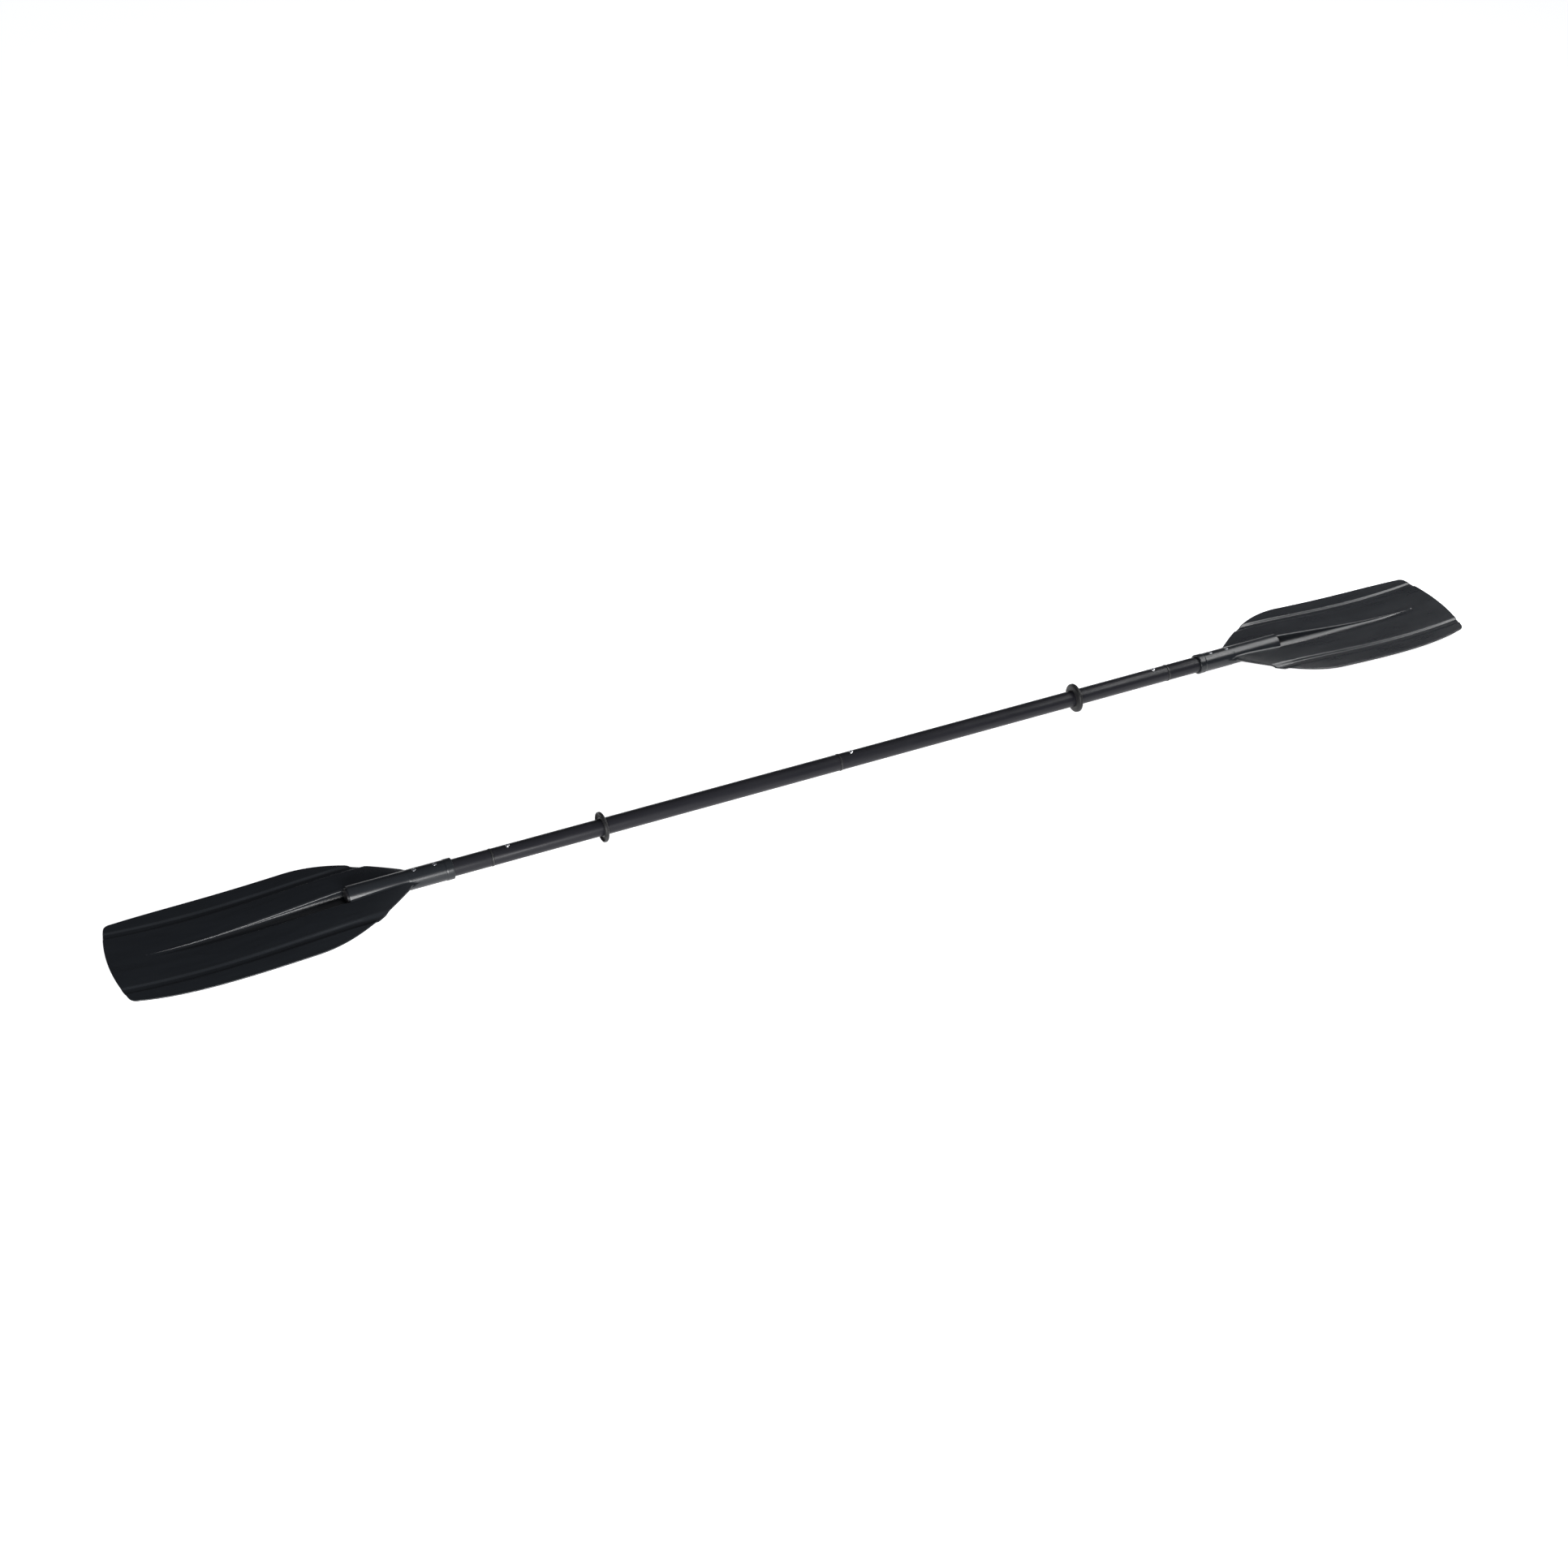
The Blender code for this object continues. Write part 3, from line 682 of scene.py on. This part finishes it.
def sleeve_radius(x):
    """Bead, neck and cover, each a step down from the last over 0.6 mm."""
    after_bead = smoothstep(mouth + 0.0110, mouth + 0.0116, x)
    after_neck = smoothstep(neck_end, neck_end + 0.0006, x)
    return (bead_radius + (neck_radius - bead_radius) * after_bead
            + (cover_radius - neck_radius) * after_neck)


def plate_columns(start, reach):
    """Distances across the plate, from start to reach: linear up to the band, finer over it,
    and linear beyond. Where the plate is narrow they keep their shares of the usual width."""
    band_in, band_out = band_offset - band_half_width, band_offset + band_half_width
    inner, outer = np.linspace(0, 1, 18)[None, :-1], np.linspace(0, 1, 14)[None, 1:]
    fine = np.linspace(band_in, band_out, 24)[None, :]

    def spread(to):
        return np.concatenate([start + inner * (band_in - start), fine + 0 * start,
                               band_out + outer * (to - band_out)], axis=1)

    usual = blade_half_width - tip_narrowing - edge_radius + 0 * start
    share = (spread(usual) - start) / (usual - start)
    return np.where(reach > usual, spread(np.maximum(reach, usual)), start + share * (reach - start))


def plate_and_edge(x, start, width, side):
    """The plate from start out to its rounded edge, on its top (side 1) or its back (side -1).
    x is a function of y, because the tip is bowed. Returns y and z."""
    flat = plate_columns(start, width - edge_radius)
    turn = np.radians(np.linspace(0, 90, edge_steps + 1))[None, 1:]
    rounding = width - edge_radius + edge_radius * np.sin(turn)
    y = np.concatenate([flat, rounding], axis=1)
    thin = np.concatenate([1 + 0 * flat, np.cos(turn) + 0 * width], axis=1)
    z = plate_height(x(y), y) - edge_radius + side * edge_radius * thin * tip_thinning(x(y), y)
    return y, z


def tip_thinning(x, y):
    """Half-round share of the thickness near the tip: the square root of 1 less the square of
    how far inside the last rounding the point is."""
    to_tip = tip_line(y) - x
    inside = np.clip(1 - to_tip / edge_radius, 0, 1)
    return np.sqrt(1 - inside ** 2)


tip_start = half_length - tip_bow - tip_corner_radius
tip_width = float(side_half_width(tip_start))
full_turn = math.pi / 2 - math.atan(2 * tip_bow / (tip_width - tip_corner_radius))
tip_edge = tip_start + tip_corner_radius * math.sin(full_turn)
tip_half_width = tip_width - tip_corner_radius * (1 - math.cos(full_turn))


def tip_line(y):
    """X of the tip's outline: a parabola from mid-blade back to the corners."""
    return half_length - (half_length - tip_edge) * (y / tip_half_width) ** 2


print("columns across the plate:", plate_columns(np.array([[0.015]]), np.array([[0.09]])).shape[1])

# %% [markdown]
# ## The three kinds of section
#
# The channelled section has a round channel, straighter in its walls further out, with a
# rounded lip. The sleeve's section is a circle with wings that leave it through a fillet, which
# is the arc of a small circle that touches both. The plain section is the circle alone, with
# the wing's points gathered at its side, so the wings can grow out of it smoothly.

# %% Sections
def channelled_half(x, width, bow, side, lip):
    """Channel: y = c sin a, z = wall top - depth cos a, where on the top both are raised to a
    power that grows from 1 at the cover to 1.15, so the round channel gets straighter walls, and
    is 1 again at the tip, where top and back meet. Lip: a quarter circle of radius lip. On the
    back the channel is wider by the plate's thickness, which fades out by the tip."""
    grow = 0 if side > 0 else plate_thickness * (1 - smoothstep(channel_end, half_length, x))
    half = channel_half_width(x) + grow
    depth = channel_depth(x)
    lip = np.minimum(lip, 0.45 * depth)
    straighten = (smoothstep(cover_end + 0.004, cover_end + 0.060, x)
                  * (1 - smoothstep(channel_end, half_length - 0.002, x)))
    power = 1 if side < 0 else 1 + 0.15 * straighten
    a = np.radians(np.linspace(0, 90, crest_steps))[None, :]
    across, down = np.sin(a) ** power, np.maximum(np.cos(a), 0) ** power
    b = np.radians(np.linspace(0, 90, root_steps + 2))[None, 1:-1]
    y = np.concatenate([half * across, half + lip * (1 - np.cos(b))], axis=1)
    drop = np.concatenate([lip + (depth - lip) * down, lip * (1 - np.sin(b))], axis=1)

    def along(y):
        return x - bow * (y / width) ** 2

    thin = side * edge_radius * tip_thinning(along(y), y)
    z = plate_height(along(y), y) - edge_radius + thin - drop
    plate_y, plate_z = plate_and_edge(along, half + lip, width, side)
    y, z = np.concatenate([y, plate_y], axis=1), np.concatenate([z, plate_z], axis=1)
    return np.stack([along(y), y, z], axis=-1)


def winged_half(x, width, side):
    """Circle, fillet and wing. The fillet's centre is one fillet radius off the wing and one
    off the circle, so its distance out is the root of (R + f) squared less its height squared."""
    radius, f = sleeve_radius(x), root_fillet
    height = plate_height(x, radius + f) - (0 if side > 0 else plate_thickness)
    centre_z = height + side * f
    centre_y = np.sqrt((radius + f) ** 2 - centre_z ** 2)
    tangent = np.arctan2(centre_z, centre_y)
    a = np.linspace(0, 1, crest_steps)[None, :]
    crest = side * np.pi / 2 + a * (tangent - side * np.pi / 2)
    b = np.linspace(0, 1, root_steps + 2)[None, 1:-1]
    root = np.pi + tangent + b * (side * np.pi / 2 - tangent)
    y = np.concatenate([radius * np.cos(crest), centre_y + f * np.cos(root)], axis=1)
    z = np.concatenate([radius * np.sin(crest), centre_z + f * np.sin(root)], axis=1)
    width = np.maximum(width, centre_y + 3 * edge_radius)
    plate_y, plate_z = plate_and_edge(lambda y: x + 0 * y, centre_y, width, side)
    y, z = np.concatenate([y, plate_y], axis=1), np.concatenate([z, plate_z], axis=1)
    return np.stack([x + 0 * y, y, z], axis=-1)


def plain_half(x, radius, side):
    """Quarter of a circle with the wing's points gathered where it ends, at side_angle."""
    wing = plate_columns(np.array([[0.015]]), np.array([[0.09]])).shape[1] + edge_steps
    if side > 0:
        arc_angle = np.linspace(np.pi / 2, side_angle, crest_steps + root_steps + 1)[:-1]
        gathered = wing
    else:
        arc_angle = np.linspace(-np.pi / 2, side_angle, crest_steps)
        gathered = wing + root_steps
    angle = np.concatenate([arc_angle, np.full(gathered, side_angle)])[None, :]
    y, z = radius * np.cos(angle), radius * np.sin(angle)
    return np.stack([x + 0 * y, y, z], axis=-1)


def loop(top, back):
    """Top half outwards, back half inwards without its edge point, then both mirrored in Y."""
    half = np.concatenate([top, back[:, -2::-1]], axis=1)
    return np.concatenate([half, half[:, -2:0:-1] * [1, -1, 1]], axis=1)


# %% [markdown]
# ## The whole blade
#
# Three grids make the blade. The sleeve's grid runs from the cover's end along the outside to
# the mouth, round its rim, and back along the bore. The rim's grid is the upper half of the
# cover's end. The plate's grid starts in the lower half of the bore and runs to the tip, where
# top and back meet in a half-round edge.

# %% Blade surface
rim_round = 0.0008
wings_from, wings_to = throat_start + 0.010, throat_start + 0.030
blend_from = cover_end - 0.014


def sleeve_grid():
    """Outside sections mix plain and winged by a smoothstep; the back mixes into the
    channel's underside before the cover ends."""
    bead = mouth + 0.0110
    x = np.concatenate([
        np.linspace(mouth + rim_round, bead, 6), bead + np.linspace(0.0002, 0.0008, 4),
        np.linspace(bead + 0.003, wings_from - 0.002, 10),
        np.linspace(wings_from, wings_to + 0.020, 36),
        np.linspace(wings_to + 0.022, cover_end - 0.0030, 18), [cover_end - 0.0015, cover_end],
    ])[::-1, None]
    width = np.maximum(side_half_width(x), bead_radius)
    grown = smoothstep(wings_from, wings_to, x)[..., None]
    under = smoothstep(blend_from, cover_end, x)[..., None]
    top = winged_half(x, width, 1) * grown + plain_half(x, sleeve_radius(x), 1) * (1 - grown)
    back = winged_half(x, width, -1) * grown + plain_half(x, sleeve_radius(x), -1) * (1 - grown)
    back = back * (1 - under) + channelled_half(x, width, 0, -1, root_fillet) * under
    top[0, :crest_steps, 0] -= rim_round
    top[0, crest_steps:crest_steps + root_steps, 0] -= rim_round * np.linspace(1, 0, root_steps + 2)[1:-1]
    turn = np.radians(np.linspace(0, 90, 7))[1:, None]
    rim_x = mouth + rim_round * (1 - np.sin(turn))
    rim_radius = bead_radius - rim_round * (1 - np.cos(turn))
    inner_x = np.array([[mouth], [mouth + gap], [cover_end]])
    inner_radius = np.array([[socket_bore + gap], [socket_bore], [socket_bore]])
    rim_x, rim_radius = np.concatenate([rim_x, inner_x]), np.concatenate([rim_radius, inner_radius])
    rest = loop(plain_half(rim_x, rim_radius, 1), plain_half(rim_x, rim_radius, -1))
    return np.concatenate([loop(top, back), rest])


def cover_rim_grid(sleeve):
    """From the outside's first section to the bore's last one, over the top only: a quarter
    circle of rim_round at each point that stands off the end plane, then straight in."""
    count = crest_steps + root_steps + 1
    outer, inner = sleeve[0, :count], sleeve[-1, :count]
    inward = (inner - outer) * [0, 1, 1]
    inward = inward / np.maximum(np.linalg.norm(inward, axis=1, keepdims=True), 1e-9)
    back = cover_end - outer[:, :1]
    turn = np.radians(np.linspace(0, 90, 7))[:, None, None]
    rounded = outer + np.array([1, 0, 0]) * back * np.sin(turn) + inward * back * (1 - np.cos(turn))
    half = np.concatenate([rounded, inner[None]])
    return np.concatenate([(half * [1, -1, 1])[:, :0:-1], half], axis=1)


def plate_grid(sleeve):
    """First row: the bore's lower half, then the sleeve's own wing. Later rows: channelled
    sections, whose width and bow turn the corner on an arc at the tip."""
    before = np.concatenate([[cover_end + 0.0008], np.linspace(cover_end + 0.0024, tip_start, 166)])
    to_tip = np.array([0.0012, 0.0009, 0.0006, 0.00035, 0.00015, 0.00004, 0.0])
    length = half_length - tip_start
    share = np.concatenate([np.linspace(0, 1 - to_tip[0] / length, 22)[1:-1], 1 - to_tip / length])
    angle = share * full_turn
    mid = np.concatenate([before, tip_start + length * share])[:, None]
    edge = np.concatenate([before, tip_start + tip_corner_radius * np.sin(angle)])[:, None]
    corner_width = tip_width - tip_corner_radius * (1 - np.cos(angle))
    width = np.concatenate([side_half_width(before), corner_width])[:, None]
    first_y = sleeve[0, crest_steps + root_steps, 1]
    wide_lip = first_y - channel_width
    lip = lip_radius + (wide_lip - lip_radius) * (1 - smoothstep(cover_end, cover_end + 0.010, mid))
    top = channelled_half(mid, width, mid - edge, 1, lip)
    back = channelled_half(mid, width, mid - edge, -1, root_fillet)
    first = sleeve[:1].copy()
    half_count = first.shape[1] // 2
    first[0, :crest_steps] = sleeve[-1, half_count:half_count - crest_steps:-1]
    first[0, crest_steps:crest_steps + root_steps] = sleeve[0, crest_steps + root_steps]
    mirrored = slice(first.shape[1] - crest_steps - root_steps + 1, first.shape[1])
    first[0, mirrored] = first[0, crest_steps + root_steps - 1:0:-1] * [1, -1, 1]
    return np.concatenate([first, loop(top, back)])


sleeve = sleeve_grid()
blade_grids = [(sleeve, True), (cover_rim_grid(sleeve), False), (plate_grid(sleeve), True)]
for side, direction in sides.items():
    turned = [(points * [direction, direction, 1], wrapped) for points, wrapped in blade_grids]
    blade = piece_from_grids(f"{side}_blade", turned, 40)
    finish_piece(f"{side}_blade", blade, blade_nylon)

# %% [markdown]
# ## Floor and light
#
# The floor is a pale studio sweep, a little brighter than white so that the soft shadows stay
# faint. Black plastic shows mostly what it mirrors, so the lights are placed by reflection: a
# long low light in front of the left blade, a high one over the right half, and a wide dim one
# behind that lifts the right blade's face.

# %% Stage
def pale_floor():
    made, tree, shader = new_material("pale_studio_floor", "#f4f4f4", 0.9)
    shader.inputs["Emission Color"].default_value = linear("#ffffff")
    shader.inputs["Emission Strength"].default_value = 0.85
    return made


floor_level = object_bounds()[0][2]
reach = 60.0
corners = [(-reach, -reach), (reach, -reach), (reach, reach), (-reach, reach)]
floor_mesh = bpy.data.meshes.new("studio_floor")
floor_mesh.from_pydata([(x, y, floor_level) for x, y in corners], [], [(0, 1, 2, 3)])
floor_mesh.materials.append(pale_floor())
studio_floor = bpy.data.objects.new("studio_floor", floor_mesh)
bpy.context.scene.collection.objects.link(studio_floor)

sky = bpy.data.worlds.new("studio")
sky.use_nodes = True
sky.node_tree.nodes["Background"].inputs["Color"].default_value = linear("#e9f0ff")
sky.node_tree.nodes["Background"].inputs["Strength"].default_value = 0.12
bpy.context.scene.world = sky
bpy.context.scene.view_settings.view_transform = "Standard"


def softbox(name, place, target, size, power):
    """A rectangular area light at place, facing target."""
    lamp = bpy.data.lights.new(name, "AREA")
    lamp.shape = "RECTANGLE"
    lamp.size, lamp.size_y = size
    lamp.energy = power
    made = bpy.data.objects.new(name, lamp)
    made.location = place
    made.rotation_euler = (Vector(target) - Vector(place)).to_track_quat("-Z", "Y").to_euler()
    bpy.context.scene.collection.objects.link(made)


softbox("overhead_light", (0.3, 0.2, 3.2), (0, 0, 0), (4.0, 3.0), 8)
softbox("left_front_light", (-0.95, -1.9, 0.50), (-1.0, 0, 0), (1.3, 0.45), 75)
softbox("right_high_light", (1.70, -0.15, 1.4), (0.9, 0, 0), (1.7, 0.35), 30)
softbox("right_back_light", (1.9, 1.3, 1.2), (0.9, 0, 0), (1.6, 1.2), 0.6)
print("four soft lights over a floor at", round(1000 * floor_level, 1), "mm")

# %% [markdown]
# ## Camera
#
# The camera stands in front and to the left, a little over 2 m up, and looks down along the
# shaft at a slant, so the near blade shows larger than the far one.

# %% Camera
camera_data = bpy.data.cameras.new("camera")
camera_data.sensor_width = 36.0
camera_data.lens = 53.63
camera_data.clip_end = 200.0
camera = bpy.data.objects.new("camera", camera_data)
camera.location = (-1.33792, -2.46765, 2.06621)
camera.rotation_euler = Euler([math.radians(turn) for turn in (52.991, -1.097, -25.718)])
bpy.context.scene.collection.objects.link(camera)
bpy.context.scene.camera = camera
print("camera stands", round(camera.location.length, 2), "m off")
